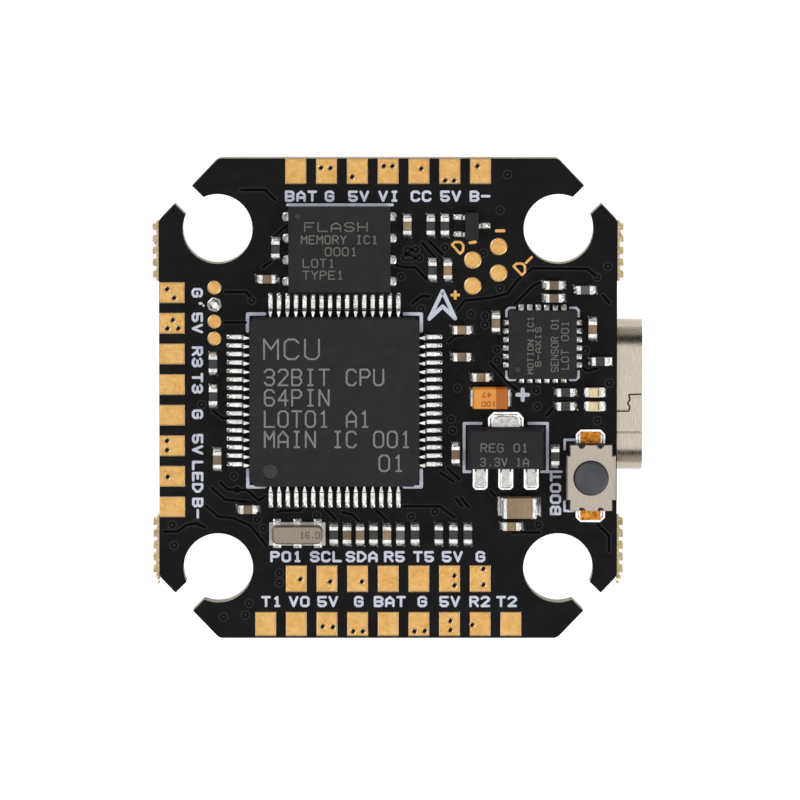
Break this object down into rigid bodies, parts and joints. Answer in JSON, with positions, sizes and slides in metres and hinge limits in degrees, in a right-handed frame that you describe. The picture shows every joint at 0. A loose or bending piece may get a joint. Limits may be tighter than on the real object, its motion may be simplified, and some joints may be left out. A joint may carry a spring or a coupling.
{
  "type": "flight controller board",
  "caption": "Small square drone flight controller board: slotted corner holes, gold wire lands on the edges, processor, boot button, and USB and speed-controller sockets underneath.",
  "frame": {"origin": "centre of the 20 x 20 mm mounting pattern, on the underside of the laminate", "axes": "+Z out of the component side, +Y the flying direction, +X the side that the USB socket opens to"},
  "size_m": [0.0288, 0.0284, 0.0067],
  "materials": {
    "laminate": "matte black solder mask over glass-epoxy laminate",
    "gold_land": "immersion gold",
    "solder": "reflowed tin solder",
    "mould_epoxy": "moulded black epoxy",
    "tinned_lead": "tinned copper alloy",
    "tantalum_case": "moulded orange epoxy",
    "ceramic_tan": "fired ceramic",
    "ceramic_white": "fired alumina",
    "resistor_glaze": "black glass overcoat on alumina",
    "ferrite": "fired ferrite",
    "lamp_lens": "pale clear epoxy",
    "switch_cover": "stamped stainless steel",
    "switch_plastic": "moulded nylon",
    "button_plastic": "moulded dark grey nylon",
    "copper_strip": "bare phosphor bronze",
    "usb_steel": "nickel-plated stainless steel",
    "connector_plastic": "moulded black liquid-crystal polymer",
    "socket_plastic": "moulded natural nylon",
    "crystal_metal": "nickel-plated lid",
    "inductor_ferrite": "pressed iron powder"
  },
  "bodies": {
    "board": {"circuit_board": "laminate", "edge_pads": "gold_land", "inner_pads": "gold_land", "round_pads": "gold_land", "solder_lands": "solder", "mcu_body": "mould_epoxy", "mcu_leads": "tinned_lead", "flash_body": "mould_epoxy", "flash_terminals": "tinned_lead", "gyro_body": "mould_epoxy", "gyro_terminals": "tinned_lead", "regulator_body": "mould_epoxy", "regulator_leads": "tinned_lead", "tantalum_body": "tantalum_case", "tantalum_terminals": "tinned_lead", "chip_capacitor_bodies": "ceramic_tan", "chip_capacitor_ends": "tinned_lead", "chip_resistor_bodies": "resistor_glaze", "chip_resistor_ends": "tinned_lead", "ferrite_bead_bodies": "ferrite", "ferrite_bead_ends": "tinned_lead", "bulk_capacitor_bodies": "ceramic_tan", "bulk_capacitor_ends": "tinned_lead", "resonator_base": "ceramic_white", "resonator_lid": "crystal_metal", "resonator_terminals": "tinned_lead", "transistor_body": "mould_epoxy", "transistor_leads": "tinned_lead", "lamp_bases": "ceramic_white", "lamp_lenses": "lamp_lens", "lamp_terminals": "tinned_lead", "boot_case": "switch_plastic", "boot_cover": "switch_cover", "boot_dome": "switch_cover", "boot_terminals": "copper_strip", "usb_shell": "usb_steel", "usb_housing": "connector_plastic", "usb_tongue": "connector_plastic", "usb_contacts": "gold_land", "esc_socket_housing": "socket_plastic", "esc_socket_pins": "tinned_lead", "esc_socket_tabs": "tinned_lead", "osd_chip_body": "mould_epoxy", "osd_chip_leads": "tinned_lead", "crystal_base": "ceramic_white", "crystal_lid": "crystal_metal", "buck_chip_body": "mould_epoxy", "buck_chip_leads": "tinned_lead", "inductor_core": "inductor_ferrite", "inductor_terminals": "tinned_lead"},
    "boot_button": {"boot_button": "button_plastic"}
  },
  "joints": [
    {"name": "boot_button_press", "type": "slide", "parent": "board", "child": "boot_button", "axis": [0, 0, -1], "range_m": [0, 0.00025], "stiffness_N_per_m": 6000, "deforming": ["boot_dome"]}
  ]
}
